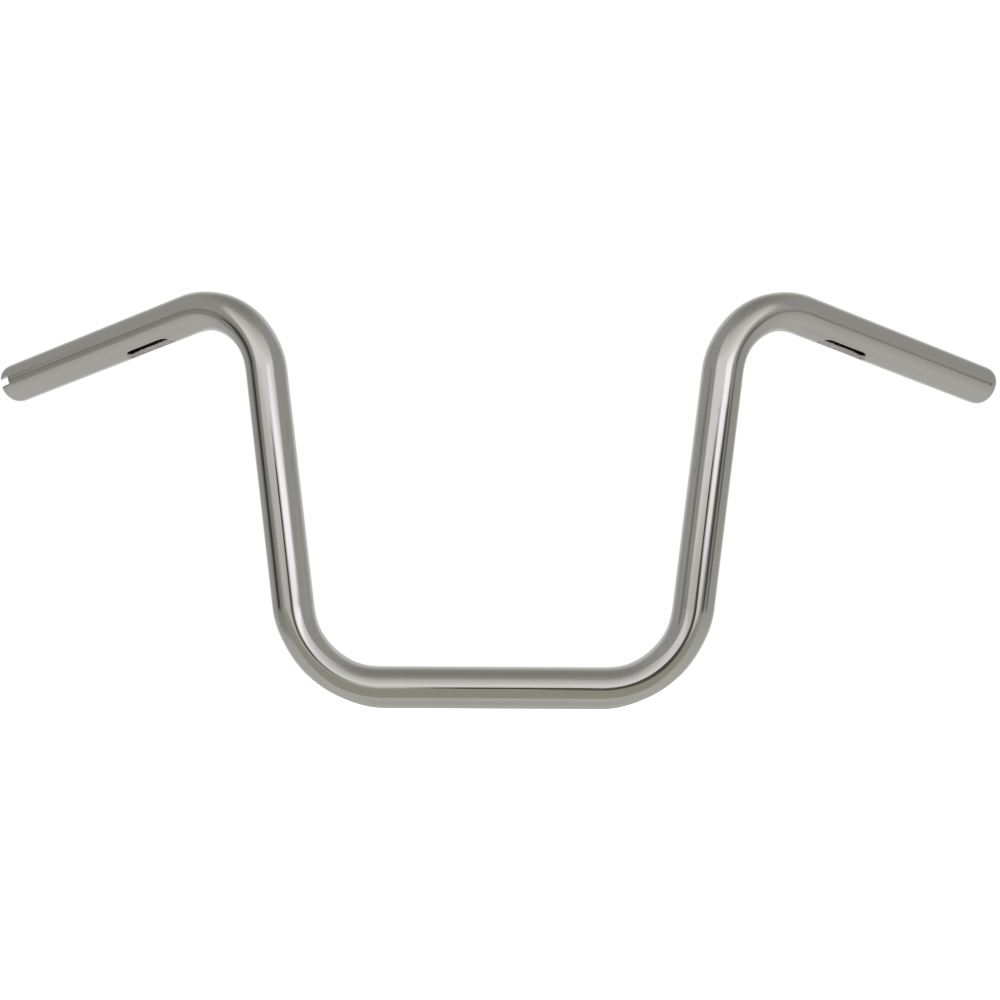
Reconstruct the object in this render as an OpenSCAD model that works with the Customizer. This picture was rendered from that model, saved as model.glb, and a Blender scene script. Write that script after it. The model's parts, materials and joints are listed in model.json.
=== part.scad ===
// Bent steel-tube motorcycle handlebar with internal-wiring slots.
// One tube bent four times. Each straight stretch and each bend is a node of its own.
// Origin: centre of the clamp section. +X along the clamp section, +Z up, +Y toward the rider.
// The throttle side is -X and the clutch side is +X.

/* [Tube] */
// Outer diameter of the tube
tube_d = 25.4; // [24:0.1:28]
// Wall thickness of the tube
tube_wall = 3.05; // [2.9:0.05:4]
// Rounding of the outer edge at the two open ends
end_round = 2.8; // [0.5:0.1:2.8]

/* [Shape of the bar] */
// Distance between the corners where the centre lines of the clamp section and the risers meet
corner_span = 233; // [220:1:300]
// Angle by which each riser leans outward
riser_lean = 7.25; // [0:0.25:12]
// Height of the elbow corners above the centre line of the clamp section
rise = 247; // [200:1:400]
// Angle by which the grip tubes fall toward their ends
wing_droop = 14.5; // [5:0.25:20]
// Angle by which the grip tubes sweep back toward the rider
wing_sweep = 22.25; // [5:0.25:30]
// Length of each wing from its elbow corner to its open end
wing_length = 203; // [195:1:260]
// Centre-line radius of the two lower bends
lower_bend_r = 57; // [45:0.5:65]
// Centre-line radius of the two elbows
elbow_r = 46; // [38:0.5:50]

/* [Wiring slots] */
// Length of the wiring slot in each grip tube
wing_slot_length = 36; // [20:1:46]
// Width of the wiring slot in each grip tube
wing_slot_width = 12; // [6:0.5:14]
// Distance along the grip tube from its elbow to the middle of the slot
wing_slot_place = 33.5; // [28:0.5:60]
// Turn of the slot around the tube, from the inside of the elbow toward the front of the bar
wing_slot_turn = 4; // [-20:1:60]
// Length of the wiring exit under the clamp section
exit_slot_length = 36; // [20:1:50]
// Width of the wiring exit under the clamp section
exit_slot_width = 11; // [6:0.5:13]
// Turn of the wiring exit around the tube, from the bottom toward the rear of the bar
exit_slot_turn = 30; // [0:5:60]

/* [Throttle end] */
// Width of the notch in the throttle end
notch_width = 5.5; // [4:0.5:8]
// Depth of the notch along the tube
notch_depth = 8.5; // [4:0.5:10]
// Turn of the notch around the tube, from the inside of the elbow toward the front of the bar
notch_turn = 90; // [60:1:180]

/* [Hidden] */
$fn = 96;
THROTTLE = -1;
CLUTCH = 1;
bore_d = tube_d - 2 * tube_wall;
// Turn and tangent length of the lower bends
lower_turn = 90 - riser_lean;
lower_tangent = lower_bend_r * tan(lower_turn / 2);
clamp_length = corner_span - 2 * lower_tangent;
// Direction of the wing seen along the riser: its parts out, back and up
wing_x = cos(wing_droop) * cos(wing_sweep);
wing_z = -sin(wing_droop);
wing_out = cos(riser_lean) * wing_x - sin(riser_lean) * wing_z;
wing_back = cos(wing_droop) * sin(wing_sweep);
wing_up = sin(riser_lean) * wing_x + cos(riser_lean) * wing_z;
// Turn, tangent length and plane of the elbows
elbow_turn = acos(wing_up);
elbow_roll = atan2(wing_back, wing_out);
elbow_tangent = elbow_r * tan(elbow_turn / 2);
riser_length = rise / cos(riser_lean) - lower_tangent - elbow_tangent;
grip_length = wing_length - elbow_tangent;
// How far a cutting shape reaches past the surface it cuts
reach = 5;

// Frames. In each one the tube starts at the origin and runs along +Z.

// Mirrors a piece to its side of the bar
module on_side(side) {
    mirror([side == THROTTLE ? 1 : 0, 0, 0]) children();
}

// Place after a bend that turns from +Z toward +X
module past_bend(radius, turn) {
    translate([radius * (1 - cos(turn)), 0, radius * sin(turn)])
        rotate([0, turn, 0])
            children();
}

module at_lower_bend() {
    translate([clamp_length / 2, 0, 0])
        rotate([0, 90, 0])
            rotate([0, 0, 180])
                children();
}

module at_riser() {
    at_lower_bend() past_bend(lower_bend_r, lower_turn) children();
}

module at_elbow() {
    at_riser()
        translate([0, 0, riser_length])
            rotate([0, 0, 180 + elbow_roll])
                children();
}

module at_grip() {
    at_elbow() past_bend(elbow_r, elbow_turn) children();
}

// Shapes of tube

module straight_tube(length) {
    difference() {
        cylinder(h = length, d = tube_d);
        translate([0, 0, -reach])
            cylinder(h = length + 2 * reach, d = bore_d);
    }
}

// Straight tube whose outer edge is rounded at its far end
module rounded_tube(length) {
    outer_r = tube_d / 2;
    inner_r = bore_d / 2;
    rotate_extrude()
        union() {
            translate([inner_r, 0])
                square([tube_wall, length - end_round]);
            translate([inner_r, length - end_round])
                square([tube_wall - end_round, end_round]);
            intersection() {
                translate([outer_r - end_round, length - end_round])
                    circle(r = end_round);
                translate([outer_r - end_round, length - end_round])
                    square(end_round);
            }
        }
}

module bent_tube(radius, turn) {
    translate([radius, 0, 0])
        rotate([90, 0, 180])
            rotate_extrude(angle = turn)
                translate([radius, 0])
                    difference() {
                        circle(d = tube_d);
                        circle(d = bore_d);
                    }
}

// Cutter for a slot with round ends, along Z and through the wall on the +X side
module slot_cutter(length, width) {
    straight = length - width;
    depth = tube_d / 2 + reach;
    for (end = [-1, 1])
        translate([0, 0, end * straight / 2])
            rotate([0, 90, 0])
                cylinder(h = depth, d = width);
    translate([0, -width / 2, -straight / 2])
        cube([depth, width, straight]);
}

// Cutter for the notch in the end of a tube, open along +Z and on the +X side
module notch_cutter() {
    translate([0, -notch_width / 2, -notch_depth])
        cube([tube_d / 2 + reach, notch_width, notch_depth + reach]);
}

// The pieces

module clamp_section() {
    color("silver")
        difference() {
            translate([-clamp_length / 2, 0, 0])
                rotate([0, 90, 0])
                    straight_tube(clamp_length);
            rotate([exit_slot_turn, 0, 0])
                rotate([0, 90, 0])
                    slot_cutter(exit_slot_length, exit_slot_width);
        }
}

module lower_bend(side) {
    color("gainsboro") on_side(side) at_lower_bend() bent_tube(lower_bend_r, lower_turn);
}

module riser(side) {
    color("silver") on_side(side) at_riser() straight_tube(riser_length);
}

module elbow(side) {
    color("gainsboro") on_side(side) at_elbow() bent_tube(elbow_r, elbow_turn);
}

module grip_tube(side) {
    color("silver")
        on_side(side)
            at_grip()
                difference() {
                    rounded_tube(grip_length);
                    rotate([0, 0, -wing_slot_turn])
                        translate([0, 0, wing_slot_place])
                            slot_cutter(wing_slot_length, wing_slot_width);
                    if (side == THROTTLE)
                        rotate([0, 0, -notch_turn])
                            translate([0, 0, grip_length])
                                notch_cutter();
                }
}

clamp_section();
lower_bend(THROTTLE);  // throttle_lower_bend
riser(THROTTLE);  // throttle_riser
elbow(THROTTLE);  // throttle_elbow
grip_tube(THROTTLE);  // throttle_grip_tube
lower_bend(CLUTCH);  // clutch_lower_bend
riser(CLUTCH);  // clutch_riser
elbow(CLUTCH);  // clutch_elbow
grip_tube(CLUTCH);  // clutch_grip_tube
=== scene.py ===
"""Looks of the chrome handlebar: one mesh piece for each section of the bent tube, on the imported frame."""

import json
import math

import bpy
from mathutils import Matrix, Vector


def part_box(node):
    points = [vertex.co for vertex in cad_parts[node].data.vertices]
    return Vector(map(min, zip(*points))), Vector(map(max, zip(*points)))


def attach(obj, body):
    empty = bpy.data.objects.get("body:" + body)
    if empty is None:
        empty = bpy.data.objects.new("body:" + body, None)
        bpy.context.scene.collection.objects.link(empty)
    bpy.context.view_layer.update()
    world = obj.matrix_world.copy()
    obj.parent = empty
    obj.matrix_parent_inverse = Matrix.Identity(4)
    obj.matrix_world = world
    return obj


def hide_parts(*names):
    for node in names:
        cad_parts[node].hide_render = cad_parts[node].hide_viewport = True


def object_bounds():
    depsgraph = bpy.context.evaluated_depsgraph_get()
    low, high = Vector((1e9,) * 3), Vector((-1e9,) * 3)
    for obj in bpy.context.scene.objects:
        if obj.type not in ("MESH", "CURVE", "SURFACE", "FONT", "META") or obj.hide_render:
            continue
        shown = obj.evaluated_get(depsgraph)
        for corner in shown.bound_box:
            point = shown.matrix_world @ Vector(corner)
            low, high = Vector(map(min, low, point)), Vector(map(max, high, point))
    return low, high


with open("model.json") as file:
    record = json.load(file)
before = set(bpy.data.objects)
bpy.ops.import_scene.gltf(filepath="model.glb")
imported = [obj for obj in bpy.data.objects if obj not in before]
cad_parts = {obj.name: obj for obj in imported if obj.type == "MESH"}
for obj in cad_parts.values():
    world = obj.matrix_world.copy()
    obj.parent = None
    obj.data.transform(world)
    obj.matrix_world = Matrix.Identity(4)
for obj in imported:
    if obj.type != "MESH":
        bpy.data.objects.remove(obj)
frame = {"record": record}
cad_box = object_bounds()

# Sizes are in metres and angles in degrees.

# Sizes of the cuts, as in the CAD model
WING_SLOT_LENGTH = 0.036
WING_SLOT_WIDTH = 0.012
WING_SLOT_PLACE = 0.0335
WING_SLOT_TURN = -4
EXIT_SLOT_LENGTH = 0.036
EXIT_SLOT_WIDTH = 0.011
EXIT_SLOT_TURN = 210
NOTCH_WIDTH = 0.0055
NOTCH_DEPTH = 0.0085
NOTCH_TURN = -90
# Rounding of the open ends: along the tube and into its wall
END_ROUND_LENGTH = 0.0065
END_ROUND_DEPTH = 0.0028
END_ROUND_STEPS = 12

# How much thinner a bend is in its own plane than the straight tube
LOWER_BEND_FLATTENING = 0.08
ELBOW_FLATTENING = 0.06
# Share of a bend over which the flattening sets in at each end
FLATTENING_RAMP = 0.30

# Fineness of the meshes
COLUMNS = 120
STRAIGHT_STEP = 0.004
BEND_STEP = 0.0015
SAME_PLACE = 1e-9
SLOT_RINGS = 9
# Tube left plain between a slot's ends and the regular grid of points
SLOT_MARGIN = 0.006
# Half width of the patch round a slot, as a share of the slot's own, and the most that the bore allows
SLOT_PATCH_SHARE = 1.55
SLOT_PATCH_LIMIT = 0.95
# Rounding of the slots' rims, outside and inside the tube
FILLET_STEPS = 6
OUTER_RIM_FILLET = 0.0008
INNER_RIM_FILLET = 0.0003

# Length of tube over which the columns of points turn toward the notch's sides
NOTCH_RAMP = 0.008
# Columns that turn, as a multiple of those within the notch
NOTCH_FADE = 4

# Material indices on every piece
CHROME, BARE_STEEL, CUT_EDGE = 0, 1, 2

THROTTLE, CLUTCH = "throttle", "clutch"


# ---------------------------------------------------------------- the tube's path

def mount(name):
    """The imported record's mount of that name."""
    return next(m for m in frame["record"]["mounts"] if m["name"] == name)


def dimension(mount_name, key):
    """A size of a mount in metres."""
    return mount(mount_name)["dims"][key] / 1000


class Section:
    """A stretch of tube that starts at a point, runs along one direction and may bend toward another."""

    def __init__(self, start, along, inside, length, bend_radius=None, flattening=0.0):
        self.start = Vector(start)
        self.along = Vector(along).normalized()
        self.inside = Vector(inside).normalized()
        self.across = self.along.cross(self.inside)
        self.length = length
        self.bend_radius = bend_radius
        self.flattening = flattening

    def axes(self, s):
        """Point on the centre line, and the directions along and inside, at distance s."""
        if self.bend_radius is None:
            return self.start + self.along * s, self.along, self.inside
        turn = s / self.bend_radius
        sine, cosine = math.sin(turn), math.cos(turn)
        point = self.start + (self.inside * (1 - cosine) + self.along * sine) * self.bend_radius
        return point, self.along * cosine + self.inside * sine, self.inside * cosine - self.along * sine

    def thinness(self, s):
        """In-plane radius as a share of the tube's, and how fast it changes along the bend."""
        if not self.flattening:
            return 1.0, 0.0
        ramp = self.length * FLATTENING_RAMP
        near_end = min(s, self.length - s)
        t = min(1.0, max(0.0, near_end / ramp))
        share = t * t * (3 - 2 * t)
        slope = 6 * t * (1 - t) / ramp * (1 if s < self.length / 2 else -1)
        return 1 - self.flattening * share, -self.flattening * slope

    def surface(self, s, angle, radius):
        """Point at an angle round the tube and the outward normal there."""
        point, along, inside = self.axes(s)
        thin, slope = self.thinness(s)
        sine, cosine = math.sin(angle), math.cos(angle)
        co = point + inside * (cosine * radius * thin) + self.across * (sine * radius)
        round_way = self.across * (cosine * radius) - inside * (sine * radius * thin)
        stretch = 1.0 if self.bend_radius is None else 1 - cosine * radius * thin / self.bend_radius
        long_way = along * stretch + inside * (cosine * radius * slope)
        return co, round_way.cross(long_way).normalized()

    def end(self):
        return self.axes(self.length)


def half_path():
    """The sections of the clutch half of the bar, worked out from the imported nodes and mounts."""
    clamp_half = dimension("riser_clamps", "length_mm") / 2
    grip_length = dimension("clutch_end_bore", "length_mm")
    grip_along = Vector(mount("clutch_grip_seat")["axis"]).normalized()
    grip_start = Vector(mount("clutch_end_bore")["pos_m"]) - grip_along * grip_length / 2
    riser_low, riser_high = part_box("clutch_riser")
    riser_middle = (riser_low + riser_high) / 2
    elbow_corner = grip_start - grip_along * (grip_start.y / grip_along.y)
    riser_along = (elbow_corner - riser_middle).normalized()
    lower_corner = elbow_corner - riser_along * (elbow_corner.z / riser_along.z)

    lower_turn = math.acos(riser_along.x)
    lower_tangent = lower_corner.x - clamp_half
    lower_radius = lower_tangent / math.tan(lower_turn / 2)
    elbow_turn = riser_along.angle(grip_along)
    elbow_tangent = (grip_start - elbow_corner).length
    elbow_radius = elbow_tangent / math.tan(elbow_turn / 2)
    riser_length = (elbow_corner - lower_corner).length - lower_tangent - elbow_tangent

    lower_bend = Section((clamp_half, 0, 0), (1, 0, 0), (0, 0, 1), lower_radius * lower_turn, lower_radius,
                         LOWER_BEND_FLATTENING)
    point, along, inside = lower_bend.end()
    riser = Section(point, along, inside, riser_length)
    outward = (grip_along - riser_along * grip_along.dot(riser_along)).normalized()
    elbow = Section(riser.end()[0], riser_along, outward, elbow_radius * elbow_turn, elbow_radius,
                    ELBOW_FLATTENING)
    point, along, inside = elbow.end()
    grip = Section(point, along, inside, grip_length)
    roll = math.atan2(outward.dot(riser.across), outward.dot(riser.inside))
    return lower_bend, riser, elbow, grip, roll


OUTER = dimension("riser_clamps", "r_mm")
INNER = dimension("clutch_end_bore", "r_mm")


# ---------------------------------------------------------------- meshes

class Sheet:
    """Collects points and faces, with a normal for each corner of each face."""

    def __init__(self):
        self.points, self.faces, self.normals, self.materials = [], [], [], []

    def point(self, co):
        self.points.append(Vector(co))
        return len(self.points) - 1

    def face(self, corners, normals, material):
        """Adds a face whose corners are turned so that it faces the way its normals do."""
        a, b, c = (self.points[corners[i]] for i in (0, 1, 2))
        facing = (b - a).cross(c - a)
        if facing.dot(sum(normals, Vector((0, 0, 0)))) < 0:
            corners, normals = corners[::-1], normals[::-1]
        self.faces.append(list(corners))
        self.normals.extend(normals)
        self.materials.append(material)

    def strip(self, row_a, row_b, normals_a, normals_b, material, closed=True):
        """Faces between two rows of points."""
        count = len(row_a) if closed else len(row_a) - 1
        for j in range(count):
            k = (j + 1) % len(row_a)
            self.face((row_a[j], row_a[k], row_b[k], row_b[j]),
                      (normals_a[j], normals_a[k], normals_b[k], normals_b[j]), material)

    def make(self, name, mirrored, materials):
        """The finished object, mirrored to the throttle side if asked."""
        flip = -1 if mirrored else 1
        points = [(p.x * flip, p.y, p.z) for p in self.points]
        normals = [(n.x * flip, n.y, n.z) for n in self.normals]
        faces = self.faces
        if mirrored:
            turned, start = [], 0
            for f in faces:
                turned.extend(normals[start:start + len(f)][::-1])
                start += len(f)
            normals = turned
            faces = [f[::-1] for f in faces]
        mesh = bpy.data.meshes.new(name)
        mesh.from_pydata(points, [], faces)
        for material in materials:
            mesh.materials.append(material)
        mesh.polygons.foreach_set("material_index", self.materials)
        mesh.polygons.foreach_set("use_smooth", [True] * len(faces))
        mesh.normals_split_custom_set(normals)
        obj = bpy.data.objects.new(name, mesh)
        bpy.context.scene.collection.objects.link(obj)
        return obj


class Slot:
    """A slot with round ends through the tube's wall."""

    def __init__(self, place, turn, length, width):
        self.place = place
        self.turn = math.radians(turn)
        self.half_straight = (length - width) / 2
        self.half_width = width / 2
        self.reach = length / 2 + SLOT_MARGIN

    def flat(self, s, angle, radius):
        """Place in the slot's own plane: along the slot and across it."""
        return s - self.place, radius * math.sin(angle - self.turn)

    def unflat(self, along, across, radius):
        """The distance and angle on the tube of a place in the slot's plane."""
        return self.place + along, self.turn + math.asin(across / radius)

    def rim(self, along, across, offset):
        """Nearest rim place, grown by an offset, and the direction out of the slot there."""
        middle = max(-self.half_straight, min(self.half_straight, along))
        away = Vector((along - middle, across)).normalized()
        return Vector((middle, 0)) + away * (self.half_width + offset), away


def slot_rings(sheet, section, slot, border, radius, sign):
    """Fills the tube's wall between a border of grid points and the slot's rounded rim.

    border lists (point, s, angle). sign is 1 on the outside of the tube and -1 inside.
    Returns the rim's last row of points and their normals, which point into the slot.
    """
    fillet = OUTER_RIM_FILLET if sign > 0 else INNER_RIM_FILLET
    last = [point for point, _, _ in border]
    last_normals = [section.surface(s, angle, radius)[1] * sign for _, s, angle in border]
    flats = [Vector(slot.flat(s, angle, radius)) for _, s, angle in border]
    for ring in range(1, SLOT_RINGS + 1):
        share = math.sin(math.pi / 2 * ring / SLOT_RINGS)
        row, normals = [], []
        for flat in flats:
            place = flat.lerp(slot.rim(flat.x, flat.y, fillet)[0], share)
            co, normal = section.surface(*slot.unflat(place.x, place.y, radius), radius)
            row.append(sheet.point(co))
            normals.append(normal * sign)
        sheet.strip(last, row, last_normals, normals, CHROME if sign > 0 else BARE_STEEL)
        last, last_normals = row, normals
    up = section.inside * math.cos(slot.turn) + section.across * math.sin(slot.turn)
    side = section.across * math.cos(slot.turn) - section.inside * math.sin(slot.turn)
    for step in range(1, FILLET_STEPS + 1):
        lean = math.pi / 2 * step / FILLET_STEPS
        row, normals = [], []
        for flat in flats:
            place, away = slot.rim(flat.x, flat.y, fillet * (1 - math.sin(lean)))
            co, normal = section.surface(*slot.unflat(place.x, place.y, radius), radius)
            out = section.along * away.x + side * away.y
            row.append(sheet.point(co - up * (sign * fillet * (1 - math.cos(lean)))))
            normals.append((normal * (sign * math.cos(lean)) - out * math.sin(lean)).normalized())
        sheet.strip(last, row, last_normals, normals, CHROME if sign > 0 else CUT_EDGE)
        last, last_normals = row, normals
    return last, last_normals


def row_places(length, step, marks=()):
    """Distances along a section, evenly spaced between its ends and the marked places."""
    stops = sorted({0.0, length, *marks})
    places = [0.0]
    for a, b in zip(stops, stops[1:]):
        count = max(1, math.ceil((b - a) / step))
        places += [a + (b - a) * i / count for i in range(1, count + 1)]
    return places


class Notch:
    """A square notch in the far end of a tube. It moves the nearest columns of points onto its two sides."""

    def __init__(self, section, first_angle):
        self.end = section.length
        self.floor = section.length - NOTCH_DEPTH
        self.pitch = 2 * math.pi / COLUMNS
        turn = math.radians(NOTCH_TURN)
        self.middle = round((turn - first_angle) / self.pitch)
        self.off_middle = first_angle + self.middle * self.pitch - turn
        self.half_columns = round(math.asin(NOTCH_WIDTH / 2 / OUTER) / self.pitch)

    def shift(self, column, s, radius):
        """How far a column of points turns so that the notch's sides fall on columns."""
        steps = (column - self.middle + COLUMNS // 2) % COLUMNS - COLUMNS // 2
        fade = NOTCH_FADE * self.half_columns
        if abs(steps) >= fade:
            return 0.0
        plain = steps * self.pitch + self.off_middle
        edge = math.asin(NOTCH_WIDTH / 2 / radius)
        if abs(steps) <= self.half_columns:
            moved = edge * steps / self.half_columns
        else:
            side = math.copysign(1, steps)
            share = (abs(steps) - self.half_columns) / (fade - self.half_columns)
            moved = side * edge * (1 - share) + (side * fade * self.pitch + self.off_middle) * share
        onset = (s - self.floor + NOTCH_RAMP) / NOTCH_RAMP
        return (moved - plain) * min(1.0, max(0.0, onset))

    def columns(self):
        """The columns whose following faces the notch removes."""
        first = self.middle - self.half_columns
        return [(first + i) % COLUMNS for i in range(2 * self.half_columns)]


def tube_piece(name, section, first_angle, mirrored, materials, slots=(), notch=False, open_end=False):
    """A length of tube with its outer and inner walls, its end faces, and any slots and notch."""
    sheet = Sheet()
    step = STRAIGHT_STEP if section.bend_radius is None else BEND_STEP
    pitch = 2 * math.pi / COLUMNS
    cut = Notch(section, first_angle) if notch else None
    marks = [slot.place + side * slot.reach for slot in slots for side in (-1, 1)]
    outer_end = section.length - (END_ROUND_LENGTH if open_end else 0)
    if open_end:
        marks += [outer_end, section.length - NOTCH_DEPTH - NOTCH_RAMP, section.length - NOTCH_DEPTH]
    places = row_places(section.length, step, marks)
    outer_places = [s for s in places if s <= outer_end + SAME_PLACE]

    def ring(s, radius, normal_of):
        row, normals, angles = [], [], []
        for column in range(COLUMNS):
            angle = first_angle + column * pitch + (cut.shift(column, s, radius) if cut else 0)
            co, normal = section.surface(s, angle, radius)
            row.append(sheet.point(co))
            normals.append(normal_of(normal))
            angles.append(angle)
        return row, normals, angles, s

    # The wall's outline, from the outside at the start, round the far end, to the inside at the start
    outer = [ring(s, OUTER, lambda n: n) for s in outer_places]
    inner = [ring(s, INNER, lambda n: -n) for s in places]
    far_along = section.end()[1]
    rounding = []
    if open_end:
        for i in range(1, END_ROUND_STEPS + 1):
            lean = math.pi / 2 * i / END_ROUND_STEPS
            radius = OUTER - END_ROUND_DEPTH * (1 - math.cos(lean))
            tilt = math.atan2(math.sin(lean) * END_ROUND_DEPTH, math.cos(lean) * END_ROUND_LENGTH)
            rounding.append(ring(outer_end + END_ROUND_LENGTH * math.sin(lean), radius,
                                 lambda n, tilt=tilt: n * math.cos(tilt) + far_along * math.sin(tilt)))

    removed = set(cut.columns()) if cut else set()

    # The columns between which each slot's patch takes the place of the regular faces
    windows = {}
    for slot in slots:
        half_angle = math.asin(min(SLOT_PATCH_LIMIT, slot.half_width * SLOT_PATCH_SHARE / INNER))
        low = math.floor((slot.turn - half_angle - first_angle) / pitch)
        high = math.ceil((slot.turn + half_angle - first_angle) / pitch)
        windows[slot] = (low, high)

    def in_window(slot, s, column):
        low, high = windows[slot]
        return abs(s - slot.place) < slot.reach and (column - low) % COLUMNS < high - low

    def join(ring_a, ring_b, material, flat=None):
        row_a, normals_a, _, s_a = ring_a
        row_b, normals_b, _, s_b = ring_b
        for j in range(COLUMNS):
            if cut and j in removed and min(s_a, s_b) >= cut.floor - SAME_PLACE:
                continue
            middle = (s_a + s_b) / 2
            if s_a != s_b and any(in_window(slot, middle, j) for slot in slots):
                continue
            k = (j + 1) % COLUMNS
            normals = (normals_a[j], normals_a[k], normals_b[k], normals_b[j])
            if flat is not None:
                normals = (flat,) * 4
            sheet.face((row_a[j], row_a[k], row_b[k], row_b[j]), normals, material)

    for a, b in zip(outer, outer[1:]):
        join(a, b, CHROME)
    far_rings = [outer[-1], *rounding]
    for a, b in zip(far_rings, far_rings[1:]):
        join(a, b, CHROME)
    join(far_rings[-1], inner[-1], CUT_EDGE, flat=far_along)
    for a, b in zip(inner, inner[1:]):
        join(a, b, BARE_STEEL)
    join(outer[0], inner[0], CUT_EDGE, flat=-section.along)

    for slot in slots:
        low, high = windows[slot]
        rims = []
        for rings, radius, sign in ((outer, OUTER, 1), (inner, INNER, -1)):
            rows = [r for r in rings if abs(r[3] - slot.place) < slot.reach + SAME_PLACE]
            columns = [c % COLUMNS for c in range(low, high + 1)]
            path = [(rows[0], c) for c in columns]
            path += [(r, columns[-1]) for r in rows[1:]]
            path += [(rows[-1], c) for c in columns[-2::-1]]
            path += [(r, columns[0]) for r in rows[-2:0:-1]]
            border = [(r[0][c], r[3], r[2][c]) for r, c in path]
            rims.append(slot_rings(sheet, section, slot, border, radius, sign))
        (outer_rim, outer_normals), (inner_rim, inner_normals) = rims
        sheet.strip(outer_rim, inner_rim, outer_normals, inner_normals, CUT_EDGE)

    if cut:
        notch_walls(sheet, section, cut, outer, rounding, inner)
    return sheet.make(name, mirrored, materials)


def notch_walls(sheet, section, cut, outer, rounding, inner):
    """The floor and the two sides of the notch."""
    columns = [*cut.columns(), (cut.columns()[-1] + 1) % COLUMNS]
    outer_rows = [r for r in outer if r[3] >= cut.floor - SAME_PLACE]
    inner_rows = [r for r in inner if r[3] >= cut.floor - SAME_PLACE]
    along = section.end()[1]
    floor_outer = [outer_rows[0][0][c] for c in columns]
    floor_inner = [inner_rows[0][0][c] for c in columns]
    flat = [along] * len(columns)
    sheet.strip(floor_outer, floor_inner, flat, flat, CUT_EDGE, closed=False)
    across = (sheet.points[floor_outer[-1]] - sheet.points[floor_outer[0]]).normalized()
    for column, facing in ((columns[0], across), (columns[-1], -across)):
        outline = [r[0][column] for r in (*outer_rows, *rounding)]
        outline += [r[0][column] for r in reversed(inner_rows)]
        sheet.face(outline, [facing] * len(outline), CUT_EDGE)


# ---------------------------------------------------------------- materials

def new_material(name):
    """An empty node material with its tree, shader and the row frame's coordinates."""
    material = bpy.data.materials.new(name)
    material.use_nodes = True
    tree = material.node_tree
    shader = tree.nodes["Principled BSDF"]
    place = tree.nodes.new("ShaderNodeTexCoord").outputs["Object"]
    return material, tree, shader, place


def noise(tree, place, wavelength, detail=2.0, stretch=(1, 1, 1)):
    """Noise whose features are about a wavelength across, in metres."""
    mapping = tree.nodes.new("ShaderNodeMapping")
    mapping.inputs["Scale"].default_value = stretch
    tree.links.new(place, mapping.inputs["Vector"])
    texture = tree.nodes.new("ShaderNodeTexNoise")
    texture.inputs["Scale"].default_value = 1 / wavelength
    texture.inputs["Detail"].default_value = detail
    tree.links.new(mapping.outputs["Vector"], texture.inputs["Vector"])
    return texture.outputs["Fac"]


def spread(tree, value, low, high, from_low=0.3, from_high=0.7):
    """A noise value spread over a range."""
    node = tree.nodes.new("ShaderNodeMapRange")
    node.inputs["From Min"].default_value = from_low
    node.inputs["From Max"].default_value = from_high
    node.inputs["To Min"].default_value = low
    node.inputs["To Max"].default_value = high
    tree.links.new(value, node.inputs["Value"])
    return node.outputs["Result"]


def blend_colours(tree, factor, first, second):
    """A colour between two colours."""
    node = tree.nodes.new("ShaderNodeMix")
    node.data_type = "RGBA"
    colours = [s for s in node.inputs if s.type == "RGBA"]
    colours[0].default_value = (*first, 1)
    colours[1].default_value = (*second, 1)
    tree.links.new(factor, node.inputs["Factor"])
    return next(s for s in node.outputs if s.type == "RGBA")


def bump(tree, height, depth, below=None):
    """A bump of a given depth in metres, over another one if given."""
    node = tree.nodes.new("ShaderNodeBump")
    node.inputs["Distance"].default_value = depth
    tree.links.new(height, node.inputs["Height"])
    if below is not None:
        tree.links.new(below, node.inputs["Normal"])
    return node.outputs["Normal"]


def chrome_material():
    """Polished chrome plate: faint ripple of the polished tube, hairlines and thin haze."""
    material, tree, shader, place = new_material("polished_chrome")
    shader.inputs["Metallic"].default_value = 1.0
    haze = noise(tree, place, 0.045, detail=4)
    plating = blend_colours(tree, haze, (0.70, 0.70, 0.70), (0.74, 0.74, 0.74))
    tree.links.new(plating, shader.inputs["Base Color"])
    tree.links.new(spread(tree, haze, 0.02, 0.06), shader.inputs["Roughness"])
    ripple = bump(tree, noise(tree, place, 0.022, detail=1), 0.00007)
    hairlines = bump(tree, noise(tree, place, 0.0006, detail=3, stretch=(1, 1, 0.25)), 0.0000012, ripple)
    tree.links.new(hairlines, shader.inputs["Normal"])
    return material


def bare_steel_material():
    """Unplated inside of the tube: dark drawn steel with a brown oxide bloom."""
    material, tree, shader, place = new_material("bare_steel_inside")
    shader.inputs["Metallic"].default_value = 0.2
    shader.inputs["Specular IOR Level"].default_value = 0.2
    bloom = noise(tree, place, 0.008, detail=6)
    rust = spread(tree, bloom, 0, 1, 0.4, 0.65)
    steel = blend_colours(tree, rust, (0.055, 0.045, 0.038), (0.050, 0.030, 0.018))
    tree.links.new(steel, shader.inputs["Base Color"])
    tree.links.new(spread(tree, bloom, 0.65, 0.85), shader.inputs["Roughness"])
    grain = bump(tree, noise(tree, place, 0.0012, detail=4), 0.00002)
    tree.links.new(grain, shader.inputs["Normal"])
    return material


def cut_edge_material():
    """Edges of the slots, the notch and the tube ends: a satin machined edge, a little warm."""
    material, tree, shader, place = new_material("plated_cut_edge")
    shader.inputs["Metallic"].default_value = 0.2
    tint = noise(tree, place, 0.005, detail=2)
    edge = blend_colours(tree, tint, (0.58, 0.55, 0.50), (0.66, 0.64, 0.60))
    tree.links.new(edge, shader.inputs["Base Color"])
    tree.links.new(spread(tree, tint, 0.25, 0.40), shader.inputs["Roughness"])
    marks = bump(tree, noise(tree, place, 0.002, detail=2), 0.000004)
    tree.links.new(marks, shader.inputs["Normal"])
    return material


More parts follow.
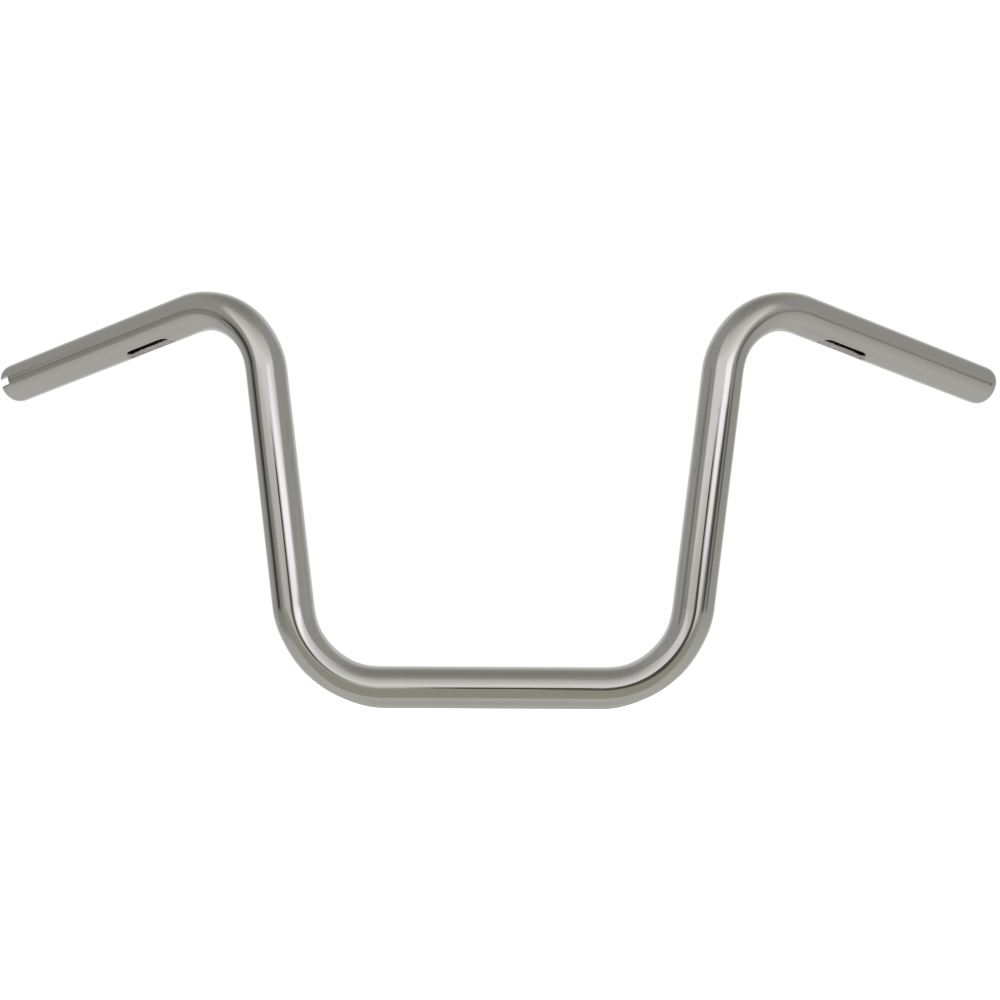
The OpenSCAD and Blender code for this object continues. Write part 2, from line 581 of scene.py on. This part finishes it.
def floor_material():
    """Matt white studio paper."""
    material, tree, shader, place = new_material("studio_paper")
    fibre = noise(tree, place, 0.004, detail=5)
    paper = blend_colours(tree, fibre, (0.93, 0.93, 0.93), (0.96, 0.96, 0.96))
    tree.links.new(paper, shader.inputs["Base Color"])
    shader.inputs["Roughness"].default_value = 0.9
    shader.inputs["Specular IOR Level"].default_value = 0.0
    shader.inputs["Emission Color"].default_value = (1, 1, 1, 1)
    shader.inputs["Emission Strength"].default_value = FLOOR_GLOW
    return material


# ---------------------------------------------------------------- studio

# Share of light that the chrome reflects, so that a studio surface can be given as the tone it shows in it
CHROME_REFLECTANCE = 0.72
# What warmth adds to the red, green and blue of a tone
WARMTH = (0.42, 0.2, -0.5)
FLOOR_DROP = 0.45
FLOOR_SIZE = 12
FLOOR_GLOW = 1.0
DOME_RADIUS = 5.5


def reflected(tone, warmth=9):
    """Light that shows in the chrome as a tone from 0 to 255, a little warm. The curve is that of sRGB."""
    def linear(level):
        share = min(level, 254) / 255
        return ((share + 0.055) / 1.055) ** 2.4 / CHROME_REFLECTANCE
    return tuple(linear(tone + warmth * part) for part in WARMTH)


def maths(tree, operation, a, b=None):
    node = tree.nodes.new("ShaderNodeMath")
    node.operation = operation
    for socket, value in zip(node.inputs, (a, b)):
        if value is None:
            continue
        if isinstance(value, (int, float)):
            socket.default_value = value
        else:
            tree.links.new(value, socket)
    return node.outputs[0]


def soft_step(tree, value, edge, soft):
    """0 below the edge and 1 above it, with a soft change."""
    node = tree.nodes.new("ShaderNodeMapRange")
    node.interpolation_type = "SMOOTHSTEP"
    node.inputs["From Min"].default_value = edge - soft
    node.inputs["From Max"].default_value = edge + soft
    tree.links.new(value, node.inputs["Value"])
    return node.outputs["Result"]


def studio_panel(tree, under, azimuth, elevation, spans, softness, colour):
    """Lays a soft-edged panel over the studio. spans and softness: left, right, low and high, in degrees."""
    left = soft_step(tree, azimuth, spans[0], softness[0])
    right = soft_step(tree, azimuth, spans[1], softness[1])
    low = soft_step(tree, elevation, spans[2], softness[2])
    high = soft_step(tree, elevation, spans[3], softness[3])
    wide = maths(tree, "SUBTRACT", left, right)
    tall = maths(tree, "SUBTRACT", low, high)
    mask = maths(tree, "MULTIPLY", wide, tall)
    node = tree.nodes.new("ShaderNodeMix")
    node.data_type = "RGBA"
    colours = [s for s in node.inputs if s.type == "RGBA"]
    tree.links.new(under, colours[0])
    colours[1].default_value = (*colour, 1)
    tree.links.new(mask, node.inputs["Factor"])
    return next(s for s in node.outputs if s.type == "RGBA")


# Tone of the studio's walls at each elevation, in degrees
WALL_TONES = ((-90, 149), (-60, 160), (-35, 155), (-20, 150), (-10, 143), (0, 137), (14, 135), (30, 133),
              (45, 135), (60, 131), (75, 121), (90, 116))


def studio_world():
    """The studio that the chrome reflects: grey walls, a table, white panels, a key light and dark gaps."""
    world = bpy.data.worlds.new("studio")
    bpy.context.scene.world = world
    world.use_nodes = True
    tree = world.node_tree
    direction = tree.nodes.new("ShaderNodeTexCoord").outputs["Generated"]
    split = tree.nodes.new("ShaderNodeSeparateXYZ")
    tree.links.new(direction, split.inputs[0])
    x, y, z = split.outputs
    degree = math.degrees(1)
    azimuth = maths(tree, "MULTIPLY", maths(tree, "ARCTAN2", x, maths(tree, "MULTIPLY", y, -1)), degree)
    elevation = maths(tree, "MULTIPLY", maths(tree, "ARCSINE", z), degree)

    ramp = tree.nodes.new("ShaderNodeValToRGB")
    ramp.color_ramp.interpolation = "LINEAR"
    tree.links.new(maths(tree, "DIVIDE", maths(tree, "ADD", elevation, 90), 180), ramp.inputs[0])
    stops = ramp.color_ramp.elements
    while len(stops) < len(WALL_TONES):
        stops.new(0.5)
    for stop, (angle, _) in zip(stops, WALL_TONES):
        stop.position = (angle + 90) / 180
    for stop, (_, tone) in zip(stops, WALL_TONES):
        stop.color = (*reflected(tone), 1)
    colour = ramp.outputs[0]

    # Wall behind the bar, on both sides of the seam where the azimuth jumps from 180 to -180
    either_side = maths(tree, "ABSOLUTE", azimuth)
    colour = studio_panel(tree, colour, either_side, elevation, (138, 400, -30, 50), (16, 1, 10, 16),
                          reflected(176, 5))
    # Each panel: its left, right, low and high edge, how soft each edge is, and its light
    panels = (
        # table in front
        ((-49, 46, -54, -6.5), (4, 4, 3, 3), reflected(130, 16)),
        # white panels above it, brighter toward their foot
        ((-44.5, 50, 0, 50), (5, 7, 2, 12), reflected(172, 7)),
        ((-43, 47, 4, 34), (5, 5, 3, 9), reflected(186, 6)),
        ((-42, 46, 7, 24), (5, 5, 3, 5), reflected(199, 5)),
        # foot of the left panel
        ((-38, -9, -5, 5), (6, 4, 2, 3), reflected(172, 6)),
        # shade between the right panel and its foot
        ((33, 52, -7, 4), (4, 4, 2, 3), reflected(110, 6)),
        # key light at the right
        ((11, 26, -7, 0), (3, 6, 2, 3), reflected(182, 4)),
        ((11, 32, -2, 15), (2, 4, 4, 5), reflected(224, 2)),
        ((12, 41, 3.5, 11), (2, 4, 3, 3), reflected(240, 2)),
        # camera and its stand
        ((-4, 5, -2, 7), (2, 2, 2, 2), reflected(60, 12)),
        ((2, 10, -7, 0), (2, 2, 2, 2), reflected(62, 12)),
        ((7, 13, -12, -5), (2, 2, 2, 2), reflected(72, 12)),
        # gap at the left of the panels
        ((-98, -50, -22, 6), (8, 4, 5, 4), reflected(122, 8)),
        ((-66, -50, -7, 4.5), (4, 3, 2, 2), reflected(115, 8)),
        ((-84, -65, -9, 4.5), (6, 2, 2, 2), reflected(58, 8)),
        ((-84, -68, 5, 17), (4, 3, 2, 3), reflected(110, 8)),
        # gap at the right of the panels
        ((42, 74, -7, 3), (3, 4, 2, 2), reflected(120, 8)),
        ((41, 51.5, -7, 3.5), (2, 2, 2, 2), reflected(60, 6)),
        ((63.5, 72, -9, 3.5), (3, 4, 2, 2), reflected(88, 8)),
    )
    for spans, softness, tone in panels:
        colour = studio_panel(tree, colour, azimuth, elevation, spans, softness, tone)
    tree.links.new(colour, tree.nodes["Background"].inputs["Color"])


def stage_plane(name, size, height, material):
    """A flat square that the camera sees and the chrome does not."""
    half = size / 2
    mesh = bpy.data.meshes.new(name)
    corners = [(-half, -half, height), (half, -half, height), (half, half, height), (-half, half, height)]
    mesh.from_pydata(corners, [], [(0, 1, 2, 3)])
    mesh.materials.append(material)
    obj = bpy.data.objects.new(name, mesh)
    bpy.context.scene.collection.objects.link(obj)
    obj.visible_glossy = False


def backdrop(radius):
    """A plain white dome all round, seen by the camera only."""
    bpy.ops.mesh.primitive_uv_sphere_add(segments=64, ring_count=32, radius=radius)
    dome = bpy.context.object
    dome.name = "backdrop"
    material = bpy.data.materials.new("white_backdrop")
    material.use_nodes = True
    tree = material.node_tree
    glow = tree.nodes.new("ShaderNodeEmission")
    glow.inputs["Color"].default_value = (1, 1, 1, 1)
    glow.inputs["Strength"].default_value = 1.0
    tree.links.new(glow.outputs[0], tree.nodes["Material Output"].inputs["Surface"])
    dome.data.materials.append(material)
    dome.visible_glossy = False
    dome.visible_diffuse = False
    dome.visible_shadow = False


def area_light(name, place, aim, size, power):
    """A square soft light that leaves no reflection in the chrome."""
    light = bpy.data.lights.new(name, "AREA")
    light.size = size
    light.energy = power
    obj = bpy.data.objects.new(name, light)
    bpy.context.scene.collection.objects.link(obj)
    obj.location = place
    obj.rotation_euler = (Vector(aim) - Vector(place)).to_track_quat("-Z", "Y").to_euler()
    obj.visible_glossy = False
    obj.visible_camera = False


def camera(place, yaw, pitch, roll, lens):
    """A camera that looks along +Y, turned right by yaw, up by pitch and rolled."""
    data = bpy.data.cameras.new("camera")
    data.lens = lens
    data.sensor_width = 36
    obj = bpy.data.objects.new("camera", data)
    bpy.context.scene.collection.objects.link(obj)
    turn = Matrix.Rotation(math.radians(-yaw), 4, "Z") @ Matrix.Rotation(math.radians(90 + pitch), 4, "X")
    obj.matrix_world = Matrix.Translation(place) @ turn @ Matrix.Rotation(math.radians(roll), 4, "Z")
    bpy.context.scene.camera = obj


CAMERA_DISTANCE = 0.7767
CAMERA_RIGHT = 0.0144
CAMERA_HEIGHT = 0.0743
CAMERA_LENS = 45.43
camera((CAMERA_RIGHT, -CAMERA_DISTANCE, CAMERA_HEIGHT), yaw=-0.765, pitch=3.0, roll=0.23, lens=CAMERA_LENS)
bpy.context.scene.view_settings.view_transform = "Standard"

TOP_LIGHT_PLACE = (0, -0.4, 2.6)
TOP_LIGHT_AIM = (0, 0.4, -0.4)
TOP_LIGHT_SIZE = 2.5
TOP_LIGHT_POWER = 40

studio_world()
stage_plane("floor", FLOOR_SIZE, cad_box[0][2] - FLOOR_DROP, floor_material())
backdrop(DOME_RADIUS)
area_light("top_light", TOP_LIGHT_PLACE, TOP_LIGHT_AIM, TOP_LIGHT_SIZE, TOP_LIGHT_POWER)


# ---------------------------------------------------------------- the bar

def clamp_section_of(lower_bend):
    """The straight section between the two lower bends."""
    half = lower_bend.start.x
    return Section((-half, 0, 0), (1, 0, 0), (0, 0, 1), 2 * half)


def keep(piece, node):
    """Fixes a finished piece to the frame in place of its CAD node."""
    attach(piece, "root")
    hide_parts(node)


def build_bar():
    materials = (chrome_material(), bare_steel_material(), cut_edge_material())
    lower_bend, riser, elbow, grip, roll = half_path()
    clamp = clamp_section_of(lower_bend)
    exit_slot = Slot(clamp.length / 2, EXIT_SLOT_TURN, EXIT_SLOT_LENGTH, EXIT_SLOT_WIDTH)
    piece = tube_piece("clamp_section_tube", clamp, 0, False, materials, slots=[exit_slot])
    keep(piece, "clamp_section")
    for side in (THROTTLE, CLUTCH):
        mirrored = side == THROTTLE
        wire_slot = Slot(WING_SLOT_PLACE, WING_SLOT_TURN, WING_SLOT_LENGTH, WING_SLOT_WIDTH)
        keep(tube_piece(f"{side}_lower_bend_tube", lower_bend, 0, mirrored, materials), f"{side}_lower_bend")
        keep(tube_piece(f"{side}_riser_tube", riser, 0, mirrored, materials), f"{side}_riser")
        keep(tube_piece(f"{side}_elbow_tube", elbow, -roll, mirrored, materials), f"{side}_elbow")
        grip_piece = tube_piece(f"{side}_grip_end_tube", grip, -roll, mirrored, materials, slots=[wire_slot],
                                notch=mirrored, open_end=True)
        keep(grip_piece, f"{side}_grip_tube")


build_bar()
